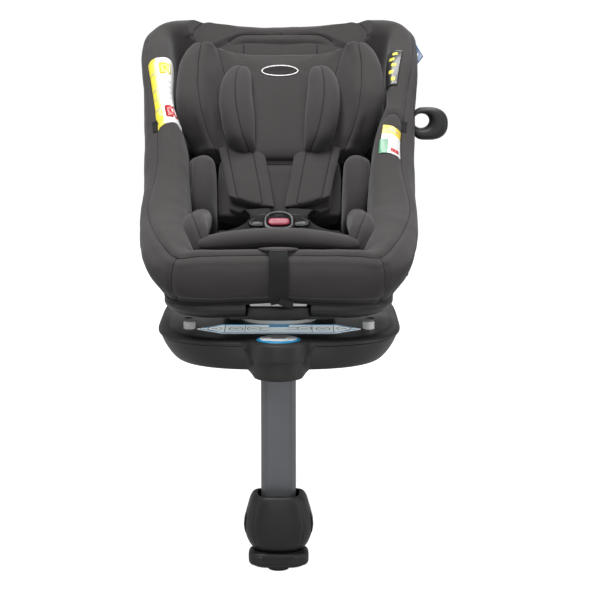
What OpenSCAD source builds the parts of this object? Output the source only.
// Rotating child car seat on an anchored base with a support leg.
// Origin: the midpoint of the two lower anchor bars of the car.
// +X is to the right seen from in front, +Y points to the car's backrest, +Z up.
// Left and right are as seen from in front.
// Most modules are written round the swivel axis at the underside of the base ("station" frame),
// and at_station() carries them to the anchor bars.

/* [Base] */
// Distance from the anchor bars forward to the swivel axis
axis_to_bars = 345; // [340:1:360]
// Height of the anchor bars above the underside of the base
bar_height = 24; // [22:1:26]
// Half width of the base at its rim
base_half_w = 183; // [180:1:190]
// Distance from the swivel axis to the front of the base
base_front = 188; // [185:1:192]
// Distance from the swivel axis to the rear of the base
base_rear = 250; // [245:1:255]
// Height of the deck above the underside
deck_z = 43; // [42:1:44]

/* [Anchors] */
// Centre distance of the two connectors
anchor_spacing = 280; // [278:1:282]
// Radius of the jaw's round seat
jaw_r = 3.1; // [3.05:0.05:3.2]

/* [Leg] */
// Width of the upper leg tube
leg_w = 51; // [48:1:52]
// Depth of the upper leg tube
leg_d = 30; // [28:1:30]
// Height of the fold pivot above the underside
pivot_z = 9; // [8:1:10]

/* [Seat] */
// Half width of the shell's upper part, without its cover
shell_half_w = 205; // [200:1:206]
// Angle of the backrest from the vertical
back_angle = 30; // [30:1:31]
// Radius of the recline arc at the guide pins
recline_r = 455; // [454:1:456]
// Full recline travel in degrees
recline_travel = 12; // [8:1:12]

/* [Headrest] */
// Half width across the headrest's wings
head_half_w = 162; // [158:1:163]
// Lowest edge of the headrest, up along the backrest
head_low = 146; // [144:1:150]
// Length of the headrest along the backrest
head_len = 190; // [180:1:195]

/* [Hidden] */
$fn = 48;
wall = 3;
gap = 0.4;
leg_u = -190;           // the leg's place in front of the swivel axis
pivot_r = 5;
run_fit = 0.06;         // radial clearance of a pin that turns
tray_z = 34;            // parting line of the two base housings
roof_z = 28.5;          // underside of the leg channel's roof
channel_half_w = 52;
hook_open = 35;         // swing of a hook from closed to open
deck_under = 37;
spigot_r = 46;
ring_in = 50;
ring_out = 58;
disc_r = 62;            // round middle of the turntable; a tongue carries the lock bolt
disc_top = 58;
bolt_r = 6;
bolt_place = 140;       // the lock bolt, from the swivel axis
recline_u = -10;        // recline axis, from the swivel axis
recline_z = 545;        // recline axis, above the underside
plate_in = 78;          // carrier side plates
plate_out = 86;
pin_r = 4.9;
bight_u = 78;           // foot of the backrest's inner face
bight_z = 128;
back_len = 402;         // length of the backrest's inner face
collar_z = -179;        // top of the leg's height adjuster
collar_low = -259;
foot_top = -263;
foot_low = -283;
sole_low = -286;

// ---------- helpers ----------

// Moves from the station frame to the anchor-bar frame.
module at_station() translate([0, -axis_to_bars, -bar_height]) children();

// Frame of the backrest: -Y out of the backrest towards the child, +Z up along it.
module on_back() translate([0, bight_u, bight_z]) rotate([-back_angle, 0, 0]) children();

// Draws its child at both sides.
module both_sides() {
    children();
    mirror([1, 0, 0]) children();
}

// A side-view outline, extruded across the seat from x0 to x1.
module slab(x0, x1, points)
    translate([x0, 0, 0]) rotate([90, 0, 90]) linear_extrude(x1 - x0) polygon(points);

// A box by its lowest and highest corners.
module span_box(low, high) translate(low) cube(high - low);

// A front-view outline, extruded from u0 to u1.
module front_slab(u0, u1, points)
    translate([0, u1, 0]) rotate([90, 0, 0]) linear_extrude(u1 - u0) polygon(points);

// Rounded rectangle as points, centred.
function rounded(w, d, r, steps = 6) = [
    for (q = [0:3], i = [0:steps])
        let (a = 90 * q + 90 * i / steps,
             sx = (q == 0 || q == 3) ? 1 : -1,
             sy = (q < 2) ? 1 : -1)
        [sx * (w / 2 - r) + r * cos(a), sy * (d / 2 - r) + r * sin(a)]];

function power(v, e) = sign(v) * pow(abs(v), e);

// Plan outline of the base: a squarish oval, blunter at the rear.
function plan(half_w, front, rear, step = 6) = [
    for (t = [0:step:359])
        let (e = sin(t) < 0 ? 2 / 3 : 2 / 5, l = sin(t) < 0 ? front : rear)
        [half_w * power(cos(t), sin(t) < 0 ? 2 / 3 : 2 / 5), l * power(sin(t), e)]];

function ring(z, points) = [for (p = points) [p[0], p[1], z]];

// Closed body through a stack of rings with equal numbers of points.
module loft(rings) {
    n = len(rings[0]);
    m = len(rings);
    points = [for (r = rings, p = r) p];
    sides = [for (j = [0:m - 2], i = [0:n - 1])
        let (a = j * n + i, b = j * n + (i + 1) % n) each [[a, a + n, b], [b, a + n, b + n]]];
    polyhedron(points, concat([[for (i = [0:n - 1]) i]], sides,
        [[for (i = [n - 1:-1:0]) (m - 1) * n + i]]));
}

// A ring sector about the recline axis, between two radii and two angles from straight down.
module recline_arc(r0, r1, a0, a1, x0, x1)
    translate([x0, recline_u, recline_z]) rotate([0, 90, 0]) rotate([0, 0, a0])
        rotate_extrude(angle = a1 - a0, $fn = 240) translate([r0, 0]) square([r1 - r0, x1 - x0]);

function arc_u(r, a) = recline_u + r * sin(a);
function arc_z(r, a) = recline_z - r * cos(a);

// ---------- anchors ----------

arm_x = anchor_spacing / 2;

// Two steel arms and the bar that ties them, inside the base.
module isofix_frame() color("silver") at_station() {
    both_sides() span_box([arm_x - 5, 20, 14], [arm_x + 5, 268, 34]);
    span_box([5 - arm_x, 104, 30.2], [arm_x - 5, 128, 34]);
}

module isofix_connector(side) color("dimgray") at_station() translate([side * arm_x, 0, bar_height])
    difference() {
        union() {
            slab(-13, 13, [[268, -15], [350, -15], [358, -9], [358, 9], [350, 15], [268, 15]]);
            slab(-9, 9, [[272, 15], [304, 15], [302, 17], [274, 17]]);
        }
        translate([-20, axis_to_bars, 0]) rotate([0, 90, 0]) cylinder(r = jaw_r, h = 40);
        span_box([-20, axis_to_bars, -jaw_r], [20, 370, jaw_r]);
        span_box([-3.4, 318, -16], [3.4, 360, 9]);
        span_box([-7.4, 309.5, 11.5], [7.4, 328.4, 16]);
        translate([-14, 330, -10]) rotate([0, 90, 0]) cylinder(r = 2.5, h = 28);
    }

module isofix_connector_left() isofix_connector(-1);
module isofix_connector_right() isofix_connector(1);

// Drawn closed round the bar, then swung open.
module isofix_hook(side) color("silver") at_station() translate([side * arm_x, 330, bar_height - 10])
    rotate([-hook_open, 0, 0]) {
        slab(-3, 3, [[-5, 3.4], [-5, -4], [16, -3], [23, 2], [25, 12], [21, 14], [18.8, 12], [18.8, 9],
            [17, 6.4], [12, 5.6], [4, 5]]);
        translate([-12.5, 0, 0]) rotate([0, 90, 0]) cylinder(r = 2.5 - run_fit, h = 25);
    }

module isofix_hook_left() isofix_hook(-1);
module isofix_hook_right() isofix_hook(1);

module isofix_release(side) color("firebrick") at_station() translate([side * arm_x, 0, bar_height])
    slab(-7, 7, [[318, 12], [328, 12], [328, 15.6], [326, 18], [320, 18], [318, 15.6]]);

module isofix_release_left() isofix_release(-1);
module isofix_release_right() isofix_release(1);

// ---------- base ----------

screw_places = [[118, -120], [146, 60], [118, 212]];

module channel_space() {
    span_box([-channel_half_w, -150, -20], [channel_half_w, 300, roof_z]);
    span_box([-27.5, leg_u - 19, -20], [27.5, -140, roof_z]);
}

module connector_space()
    both_sides() span_box([arm_x - 8, 14, 11], [arm_x + 8, 300, 36.6]);

module base_lower_tray() color("#2b2b2c") at_station() difference() {
    union() {
        loft([
            ring(0, plan(156, 184, 240)), ring(4, plan(162, 190, 246)), ring(18, plan(172, 190, 248)),
            ring(tray_z, plan(180, 187, base_rear)), ring(tray_z, plan(177, 184, base_rear - wall)),
            ring(18, plan(169, 187, 245)), ring(wall, plan(159, 184, 240))]);
        span_box([-channel_half_w - wall, -146, 0.2], [channel_half_w + wall, 238, roof_z + 1.2]);
        translate([0, leg_u, -6]) cylinder(r = 38, h = 25.8, $fn = 72);
    }
    channel_space();
    connector_space();
    span_box([-arm_x, 96, 29.9], [arm_x, 226, 36]);
    translate([0, leg_u, 19.8]) cylinder(r = 42.4, h = 20, $fn = 72);
    translate([-60, leg_u, pivot_z]) rotate([0, 90, 0]) cylinder(r = pivot_r + run_fit, h = 120);
    both_sides() translate([150, 150, 20]) rotate([0, 90, 0]) cylinder(r = 8.4, h = 50);
    both_sides() for (p = screw_places) translate([p[0], p[1], -1]) cylinder(r = 4.4, h = 2.6);
}

module base_upper_cover() color("#333334") at_station() difference() {
    union() {
        loft([ring(tray_z + 0.2, plan(181, 186.5, 250)), ring(36, plan(base_half_w, base_front, 252)),
            ring(39, plan(182, 187, 251)), ring(deck_z, plan(174, 179, 243))]);
        translate([0, leg_u, 20]) cylinder(r = 42, h = 25, $fn = 72);
    }
    difference() {
        loft([ring(30, plan(176, 182, 245)), ring(deck_under, plan(175, 181, 244))]);
        translate([0, leg_u, 0]) cylinder(r = 44, h = 60, $fn = 72);
    }
    translate([0, 0, 30]) cylinder(r = spigot_r + gap, h = 20, $fn = 120);
    // pockets for the lock bolt, every quarter turn
    for (a = [0:90:359]) rotate([0, 0, a]) translate([0, bolt_place, 39.8])
        cylinder(r = bolt_r + 0.5, h = 10);
    connector_space();
    span_box([-27.5, leg_u - 19, 0], [27.5, -140, 31]);
    span_box([-38, -182, 0], [38, -140, deck_under]);
}

module glide_ring() color("whitesmoke") at_station() translate([0, 0, deck_z]) difference() {
    cylinder(r = ring_out, h = 6.7, $fn = 120);
    translate([0, 0, -1]) cylinder(r = ring_in, h = 9, $fn = 120);
}

module rest_bumpers() color("lightgray") at_station() both_sides() translate([134, -88, deck_z]) {
    cylinder(r = 9, h = 10);
    translate([0, 0, 10]) cylinder(r1 = 9, r2 = 7.8, h = 1.2);
}

// Sticker panel in front of the turntable.
module deck_label() color("lightblue") at_station() translate([0, 0, deck_z]) linear_extrude(0.8)
    polygon([[-122, -97], [-84, -130], [84, -130], [122, -97], [85, -60], [-85, -60]]);

module leg_status_disc() color("skyblue") at_station() translate([0, leg_u, 45]) {
    cylinder(r = 32, h = 1.6, $fn = 72);
    translate([0, 0, 1.6]) cylinder(r1 = 32, r2 = 30, h = 1, $fn = 72);
}

module leg_pivot_pin() color("silver") at_station() translate([-35, leg_u, pivot_z])
    rotate([0, 90, 0]) cylinder(r = pivot_r, h = 70);

module base_screws() color("gray") at_station() both_sides() for (p = screw_places)
    translate([p[0], p[1], 0.3]) difference() {
        cylinder(r = 4, h = 1.2);
        translate([0, 0, -1]) cylinder(r = 1.6, h = 1.8);
    }

module isofix_adjuster(side) color("dimgray") at_station() translate([0, 150, 20])
    mirror([side < 0 ? 1 : 0, 0, 0]) rotate([0, 90, 0]) {
        translate([0, 0, 160]) cylinder(r = 8, h = 14);
        translate([0, 0, 174]) cylinder(r1 = 8, r2 = 6.8, h = 1.2);
    }

module isofix_adjuster_left() isofix_adjuster(-1);
module isofix_adjuster_right() isofix_adjuster(1);

// ---------- leg ----------

module leg_upper_tube() color("#5c5d60") at_station() difference() {
    translate([0, leg_u, 0]) union() {
        translate([0, 0, collar_low + 2]) linear_extrude(pivot_z - collar_low - 2)
            polygon(rounded(leg_w, leg_d, 11));
        translate([-leg_w / 2, 0, pivot_z]) rotate([0, 90, 0]) cylinder(r = leg_d / 2, h = leg_w);
    }
    translate([0, leg_u, collar_low - 1]) linear_extrude(pivot_z - 12 - collar_low)
        polygon(rounded(leg_w - 4, leg_d - 4, 9));
    translate([-60, leg_u, pivot_z]) rotate([0, 90, 0]) cylinder(r = pivot_r + run_fit, h = 120);
}

// Front view of the height adjuster: round shoulders, widest at two thirds of its height.
collar_outline = [
    [-32, collar_low], [32, collar_low], [40, -248], [45, -236], [46, -222], [43, -206], [40, -192],
    [36, -185], [30, collar_z], [-30, collar_z], [-36, -185], [-40, -192], [-43, -206], [-46, -222],
    [-45, -236], [-40, -248]];

module button_pocket(grow)
    span_box([38 - grow, leg_u - 22 - grow, -238 - grow], [60, leg_u - 2 + grow, -206 + grow]);

module leg_adjuster() color("#232324") at_station() difference() {
    front_slab(leg_u - 46, leg_u + 18, collar_outline);
    translate([0, leg_u, collar_low - 5]) linear_extrude(collar_z - collar_low + 10)
        polygon(rounded(leg_w, leg_d, 11));
    both_sides() span_box([41, leg_u - 21.4, -237.4], [60, leg_u - 2.6, -206.6]);
    slab(-60, 60, [[leg_u - 60, -190], [leg_u - 60, -170], [leg_u - 24, -170], [leg_u - 34, -182]]);
    slab(-60, 60, [[leg_u - 60, -265], [leg_u - 60, -238], [leg_u - 46, -240], [leg_u - 30, -265]]);
}

module leg_button(side) color("#1d1d1e") at_station() mirror([side < 0 ? 1 : 0, 0, 0])
    translate([45.4, leg_u - 12, -222]) rotate([0, 90, 0]) linear_extrude(3.4)
        polygon(rounded(30, 18, 7));

module leg_button_left() leg_button(-1);
module leg_button_right() leg_button(1);

module leg_inner_tube() color("#8a8c90") at_station() translate([0, leg_u, foot_top]) difference() {
    linear_extrude(235) polygon(rounded(leg_w - 4.6, leg_d - 4.6, 8.7));
    translate([0, 0, -1]) linear_extrude(237) polygon(rounded(leg_w - 8, leg_d - 8, 7));
}

function foot_plan(grow) = [for (p = rounded(87 + grow, 58 + grow, 22)) [p[0], leg_u - 14 + p[1]]];

module foot_block() color("#242425") at_station() difference() {
    loft([ring(foot_low, foot_plan(-8)), ring(foot_low + 5, foot_plan(0)),
        ring(foot_top - 6, foot_plan(0)), ring(foot_top, foot_plan(-10))]);
    translate([-15.6, leg_u - 26, foot_low - 1]) cube([31.2, 26, 13]);
    translate([-18, leg_u - 46, foot_top - 7]) cube([36, 8, 4]);
}

module foot_sole() color("black") at_station() difference() {
    translate([0, 0, sole_low]) linear_extrude(3) polygon(foot_plan(-12));
    translate([-15.6, leg_u - 26, sole_low - 1]) cube([31.2, 26, 5]);
}

module foot_plunger() color("#1d1d1e") at_station() translate([-15, leg_u - 25.4, -292])
    cube([30, 24.8, 17]);

// ---------- turntable ----------

module turntable_disc() color("#262627") at_station() difference() {
    union() {
        translate([0, 0, 50]) cylinder(r = disc_r, h = disc_top - 50, $fn = 120);
        translate([0, 0, 50]) linear_extrude(disc_top - 50) polygon([
            [-plate_out, -40], [-74, -52], [74, -52], [plate_out, -40], [plate_out, 84], [24, 100],
            [18, 136], [12, 148.5], [-12, 148.5], [-18, 136], [-24, 100], [-plate_out, 84]]);
        translate([0, 0, deck_under - 0.5]) cylinder(r = spigot_r, h = 14, $fn = 120);
    }
    translate([0, 0, 30]) cylinder(r = spigot_r - 8, h = 24, $fn = 120);
    translate([0, bolt_place, 30]) cylinder(r = bolt_r + 0.3, h = 40);
}

module turntable_retainer() color("silver") at_station() translate([0, 0, 32.4]) difference() {
    cylinder(r = 55, h = deck_under - 0.5 - 32.4, $fn = 120);
    translate([0, 0, -1]) cylinder(r = 36, h = 8, $fn = 120);
    for (a = [0:60:359]) rotate([0, 0, a]) translate([42, 0, -1]) cylinder(r = 1.8, h = 8);
}

module recline_carrier() color("#3a3a3c") at_station() {
    both_sides() difference() {
        slab(plate_in, plate_out, [[-40, disc_top], [84, disc_top], [84, 125], [-150, 125],
            [-150, 93], [-110, 85], [-60, 77]]);
        translate([0, recline_u, recline_z]) rotate([0, 90, 0])
            translate([0, 0, 50]) cylinder(r = recline_r - 13, h = 60, $fn = 240);
        recline_arc(recline_r - pin_r - 0.3, recline_r + pin_r + 0.3,
            -3 - recline_travel - 0.8, 9.8, plate_in - 1, plate_out + 1);
    }
    for (u = [-40, 60]) span_box([-plate_in, u, disc_top], [plate_in, u + 14, 66]);
}

module rotation_lock_bolt() color("silver") at_station() translate([0, bolt_place, 44.6]) {
    cylinder(r = bolt_r, h = 24);
    translate([0, 0, 20]) cylinder(r = 8, h = 4);
}

// ---------- seat ----------

// A point by its place in the backrest frame.
function back_pt(y, z) = [bight_u + y * cos(back_angle) + z * sin(back_angle),
    bight_z - y * sin(back_angle) + z * cos(back_angle)];

// Points on an arc about the recline axis, from one place to another.
function runner(r, u0, u1, steps = 10) = [for (i = [0:steps])
    let (u = u0 + (u1 - u0) * i / steps) [u, recline_z - sqrt(r * r - pow(u - recline_u, 2))]];

// Side view of the rim, from the knees up to the top of the backrest.
rim = [[-208, 166], [-150, 187], [-80, 210], [-10, 257], [50, 315], [110, 380], [165, 437], [205, 474],
    [235, 487]];
// Side view of the shell's outside, from the top of the backrest down and forward to the knees.
shell_outer = concat([back_pt(16, 404), back_pt(16, 24)], [[104, 110], [84, 90], [60, 80], [0, 73],
    [-80, 70], [-150, 72], [-196, 84], [-208, 100]]);

// Half width of the seat against height, with its cover.
seat_widths = [[168, 100], [186, 120], [198, 150], [206, 180], [210, 205], [210, 260], [212, 300],
    [215, 350], [219, 400], [222, 430], [220, 455], [211, 474], [190, 488], [165, 494]];

// Front-view outline of the seat, drawn in by a margin.
function seat_front(margin, low) = concat(
    [for (p = seat_widths) [p[0] - margin, p[1]]], [[0, 486]],
    [for (i = [len(seat_widths) - 1:-1:0]) [margin - seat_widths[i][0], seat_widths[i][1]]],
    [[margin - 150, low], [150 - margin, low]]);

floor_r = 433;          // top of the seat's floor, about the recline axis
under_r = 439;          // its underside

// A side-view outline right across the seat, trimmed to the seat's front view less a margin.
module trimmed(margin, points) intersection() {
    slab(-230, 230, points);
    front_slab(-260, 400, seat_front(margin, 50));
}

module seat_shell() color("#2a2a2b") at_station() difference() {
    trimmed(14, concat(rim, shell_outer));
    trimmed(18, concat([[-204, 300]], runner(floor_r, -204, 86),
        [back_pt(10, 8), back_pt(10, 440), [200, 600], [-204, 600]]));
    trimmed(18, concat([[-204, 40], [150, 40], [150, 90], back_pt(40, 10), back_pt(14, 9)],
        runner(under_r, 86, -204)));
    span_box([-46, -230, 70], [46, -180, 104]);
    on_back() span_box([-16, -5, 60], [16, 60, 392]);
    translate([150, -60, 130]) rotate([0, 90, 0]) cylinder(r = 12.4, h = 80);
    translate([190, 118, 333]) rotate([0, 90, 0]) cylinder(r = 10.4, h = 80);
    span_box([-19, -230, 150], [19, -188, 180]);
}

// Plan of the back casing in the backrest frame: flat in front, swelling to the rear.
function casing(half_w, depth) = [
    [-half_w, 16], [half_w, 16], [half_w - 6, 18 + depth * 0.6], [half_w - 40, 20 + depth],
    [40 - half_w, 20 + depth], [6 - half_w, 18 + depth * 0.6]];

module shell_back_cover() color("#262627") at_station() difference() {
    intersection() {
        on_back() loft([ring(30, casing(150, 2)), ring(70, casing(170, 24)), ring(330, casing(180, 24)),
            ring(392, casing(165, 6))]);
        front_slab(-260, 400, seat_front(18, 60));
    }
    on_back() span_box([-40, 10, 50], [40, 40, 396]);
}

module recline_keel() color("#3a3a3c") at_station() difference() {
    recline_arc(under_r + 0.05, 468, -6, 12, 0.6 - plate_in, plate_in - 0.6);
    recline_arc(under_r + 6, 470, -4.4, 10.4, 8 - plate_in, plate_in - 8);
    for (a = [-3, 9]) translate([-100, arc_u(recline_r, a), arc_z(recline_r, a)]) rotate([0, 90, 0])
        cylinder(r = pin_r, h = 200);
}

module recline_pins() color("silver") at_station() for (a = [-3, 9])
    translate([-plate_out - 3, arc_u(recline_r, a), arc_z(recline_r, a)]) rotate([0, 90, 0])
        cylinder(r = pin_r, h = 2 * plate_out + 6);

module recline_handle() color("#1f1f20") at_station() difference() {
    union() {
        slab(-42, 42, [[-207, 76], [-200, 72], [-184, 74], [-180, 84], [-184, 97], [-198, 99], [-206, 92]]);
        slab(-30, 30, [[-186, 86], [-160, 88], [-160, 94], [-186, 96]]);
    }
    slab(-34, 34, [[-200, 70], [-188, 70], [-190, 88], [-198, 88]]);
}

module rotation_button() color("#5a5b5e") at_station()
    translate([188, -60, 130]) rotate([0, 90, 0]) cylinder(r = 12, h = 13);

// ---------- covers and pads ----------

// Side view of the band inside the shell's side wall.
side_pad = concat([[-190, 165]], [for (p = rim) [p[0] + 4, p[1] + 9]],
    [back_pt(-2, 404), back_pt(-2, 40), [60, 160], [-60, 150], [-150, 160]]);
// Side view of the outer skin, over the shell's side wall.
side_skin = concat([[-209, 106], [-216, 150]], [for (p = rim) [p[0] - 4, p[1] + 9]],
    [back_pt(14, 408), back_pt(14, 30), [96, 112], [-60, 98]]);

module side_cover() difference() {
    intersection() {
        translate([152, -300, 0]) cube([80, 700, 520]);
        union() {
            difference() {
                trimmed(0, side_skin);
                on_back() span_box([100, -200, 132], [168, 8, 440]);
                trimmed(13.6, concat([for (p = rim) [p[0] - 0.4, p[1] + 0.4]],
                    [[400, 487], [400, 40], [-208.4, 40]]));
            }
            difference() {
                trimmed(18.4, side_pad);
                on_back() span_box([100, -160, 132], [168, 60, 440]);
            }
        }
    }
    translate([150, -60, 130]) rotate([0, 90, 0]) cylinder(r = 13, h = 80);
    translate([150, 118, 333]) rotate([0, 90, 0]) cylinder(r = 10.8, h = 80);
}

module cover_right() color("#514d4b") at_station() side_cover();
module cover_left() color("#514d4b") at_station() mirror([1, 0, 0]) side_cover();

module cover_top() color("#514d4b") at_station() difference() {
    on_back() span_box([-151.6, -3.6, 396], [151.6, 15.6, 414]);
    slab(-160, 160, concat(rim, [back_pt(10, 404.4)], shell_outer));
}

module cover_front() color("#514d4b") at_station() difference() {
    slab(-151.6, 151.6, [[-209, 104], [-215, 140], [-214, 166], [-208, 175], [-194, 178], [-193, 168.4],
        [-203, 168.4], [-208.4, 166.8], [-208.4, 104]]);
    span_box([-18.6, -206.6, 160], [18.6, -180, 190]);
}

// Side view of the seat cushion's top.
cushion_top = [for (p = runner(floor_r, -191, 78)) [p[0], p[1] + 24]];

module seat_cushion() color("#4a4644") at_station() difference() {
    slab(-151.6, 151.6, concat([for (p = runner(floor_r, -191, 78)) [p[0], p[1] + 0.6]],
        [for (i = [len(cushion_top) - 1:-1:0]) cushion_top[i]]));
    span_box([-19, -192, 140], [19, -181, 190]);
}

module back_cushion() color("#4a4644") at_station() difference() {
    on_back() span_box([-151.6, -3.6, 30], [151.6, 9.7, 394]);
    on_back() span_box([-17, -10, 60], [17, 20, 400]);
}

// Newborn insert: seat wedge and back pad in one.
module insert_cushion() color("#3f3c3b") at_station() difference() {
    slab(-97, 97, concat([for (p = cushion_top) if (p[0] > -160 && p[0] < 60) [p[0], p[1] + 0.4]],
        [back_pt(-4, 36), back_pt(-4, 134), back_pt(-62, 134), back_pt(-66, 60), [0, 172], [-70, 172],
        [-126, 196], [-146, 201], [-160, 196], [-164, 182]]));
    span_box([-24, -110, 100], [24, -76, 220]);
}

module insert_side() slab(98, 148, concat(
    [for (p = cushion_top) if (p[0] > -160 && p[0] < 60) [p[0], p[1] + 0.4]],
    [back_pt(-4, 36), back_pt(-4, 136), back_pt(-92, 136), back_pt(-112, 84), [-100, 214], [-148, 205],
    [-156, 184]]));

module insert_side_right() color("#3f3c3b") at_station() insert_side();
module insert_side_left() color("#3f3c3b") at_station() mirror([1, 0, 0]) insert_side();

// ---------- harness ----------

module harness_adjuster() color("#1d1d1e") at_station()
    slab(-16, 16, [[-206, 168], [-206, 172], [-200, 176], [-188, 177], [-184, 172], [-184, 160],
        [-196, 160], [-198, 166]]);

// Free end of the adjusting strap, hanging down the front of the cover.
module adjuster_strap() color("#1a1a1b") at_station() slab(-12.5, 12.5, [
    [-207, 178.4], [-213, 175], [-216.6, 166], [-217, 104], [-218.6, 104], [-218.4, 167], [-214.4, 176.4],
    [-208, 180.2], [-196, 180], [-196, 178.4]]);

// Shoulder straps above the pads, and hip straps from the tongues to the sides.
module harness_straps() color("#1a1a1b") at_station() both_sides() {
    on_back() span_box([34, -6, 135], [72, -4.4, 144]);
    translate([0, 0, 178]) linear_extrude(26) polygon([
        [33, -60], [60, -58], [97, -36], [97, -34.4], [60, -56.4], [33, -58.4]]);
}

module shoulder_pad() on_back() translate([54, -65, 128]) rotate([0, 14, 0])
    slab(-31, 31, [[0, 0], [-14, -2], [-26, -80], [-24, -84], [-10, -84]]);

module shoulder_pad_right() color("#45413f") at_station() shoulder_pad();
module shoulder_pad_left() color("#45413f") at_station() mirror([1, 0, 0]) shoulder_pad();

// Frame of the buckle: -Y out of its face, +Z up along the strap.
module at_buckle() translate([0, -72, 200]) rotate([-42, 0, 0]) children();

module crotch_pad() color("#3f3c3b") at_station() slab(-23, 23, [
    [-106, 152], [-90, 150], [-88, 168], [-79, 179], [-93, 191.4], [-104, 178]]);

module buckle_housing() color("#1d1d1e") at_station() at_buckle() difference() {
    translate([0, 9, 0]) rotate([90, 0, 0]) linear_extrude(18) polygon(rounded(46, 36, 8));
    translate([0, -4, 0]) rotate([90, 0, 0]) linear_extrude(8) polygon(rounded(34.8, 26.8, 4.4));
    span_box([-22, -2.2, 2], [22, 2.2, 20]);
}

module buckle_button() color("#be2846") at_station() at_buckle() translate([0, -7.4, 0])
    rotate([90, 0, 0]) linear_extrude(4) polygon(rounded(34, 26, 4));

module buckle_tongues() color("#2a2a2b") at_station() at_buckle() both_sides() difference() {
    union() {
        span_box([3, -1.9, 4], [18, 1.9, 21]);
        span_box([3, -3, 19], [32, 3, 34]);
    }
    span_box([9, -5, 26], [30, 5, 30]);
}

// Clip-on pod for side impacts: a stud, a neck with a finger hole and a bumper.
module side_impact_pod() color("#343636") at_station() difference() {
    union() {
        translate([203, 118, 333]) rotate([0, 90, 0]) cylinder(r = 10, h = 30);
        translate([222.6, 93, 0]) rotate([90, 0, 90]) linear_extrude(43)
            translate([25, 333]) polygon(rounded(50, 50, 14));
    }
    translate([228, 60, 324]) cube([18, 120, 18]);
}

// ---------- headrest ----------

head_top = head_low + head_len;

module headrest_frame() color("#262627") at_station() on_back() {
    difference() {
        translate([0, 0, head_low]) linear_extrude(head_len - 6) polygon([
            [-150, -5], [150, -5], [head_half_w - 2, -40], [head_half_w - 8, -84],
            [head_half_w - 14, -84], [head_half_w - 10, -40], [145, -11], [-145, -11],
            [10 - head_half_w, -40], [14 - head_half_w, -84], [8 - head_half_w, -84],
            [2 - head_half_w, -40]]);
        span_box([-31, -12, head_top - 22], [31, 0, head_top]);
        both_sides() span_box([33, -20, head_low - 1], [73, 0, head_low + 8]);
    }
    span_box([-15.4, -5, head_low + 20], [15.4, 24, head_low + 70]);
}

module headrest_cushion() color("#45413f") at_station() on_back()
    slab(-84, 84, [[-11.4, head_low], [-11.4, head_top - 24], [-14, head_top - 8], [-30, head_top],
        [-52, head_top - 4], [-60, head_top - 20], [-60, head_low + 12], [-50, head_low]]);

module headrest_wing() on_back() difference() {
    union() {
        translate([0, 0, head_low]) linear_extrude(head_len) polygon([
            [84.4, -11.6], [144.6, -11.6], [150, -40], [146.6, -86], [head_half_w - 8, -86],
            [head_half_w - 4, -96], [head_half_w - 16, -106], [110, -104], [84.4, -62]]);
        translate([0, 0, head_low + 4]) linear_extrude(head_len - 12) polygon([
            [head_half_w - 4.6, -70], [head_half_w - 6.6, -90], [head_half_w + 1, -88],
            [head_half_w + 3, -70]]);
    }
    slab(80, 180, [[-120, head_low - 1], [-40, head_low - 1], [-90, head_low + 24], [-110, head_low + 60],
        [-120, head_low + 60]]);
    slab(80, 180, [[-120, head_top + 1], [-84, head_top + 1], [-98, head_top - 14],
        [-106, head_top - 40], [-120, head_top - 40]]);
}

module headrest_wing_right() color("#4a4644") at_station() headrest_wing();
module headrest_wing_left() color("#4a4644") at_station() mirror([1, 0, 0]) headrest_wing();

// Newborn head pad with two ears.
module head_insert() color("#3f3c3b") at_station() on_back() translate([0, 0, head_low + 2])
    linear_extrude(138) polygon([
        [-80, -60.6], [80, -60.6], [84, -70], [78, -98], [66, -104], [52, -96], [44, -74],
        [-44, -74], [-52, -96], [-66, -104], [-78, -98], [-84, -70]]);

module headrest_lever() color("#1d1d1e") at_station() on_back()
    slab(-30, 30, [[-10.6, head_top - 21], [-5.4, head_top - 21], [-5.4, head_top + 4],
        [-12, head_top + 4], [-12, head_top - 4], [-10.6, head_top - 6]]);

isofix_frame();
isofix_connector_left();
isofix_connector_right();
isofix_hook_left();
isofix_hook_right();
isofix_release_left();
isofix_release_right();
base_lower_tray();
base_upper_cover();
glide_ring();
rest_bumpers();
deck_label();
leg_status_disc();
leg_pivot_pin();
base_screws();
isofix_adjuster_left();
isofix_adjuster_right();
leg_upper_tube();
leg_adjuster();
leg_button_left();
leg_button_right();
leg_inner_tube();
foot_block();
foot_sole();
foot_plunger();
turntable_disc();
turntable_retainer();
recline_carrier();
rotation_lock_bolt();
seat_shell();
shell_back_cover();
recline_keel();
recline_pins();
recline_handle();
rotation_button();
cover_left();
cover_right();
cover_top();
cover_front();
seat_cushion();
back_cushion();
insert_cushion();
insert_side_left();
insert_side_right();
harness_adjuster();
adjuster_strap();
harness_straps();
shoulder_pad_left();
shoulder_pad_right();
crotch_pad();
buckle_housing();
buckle_button();
buckle_tongues();
side_impact_pod();
headrest_frame();
headrest_cushion();
headrest_wing_left();
headrest_wing_right();
head_insert();
headrest_lever();
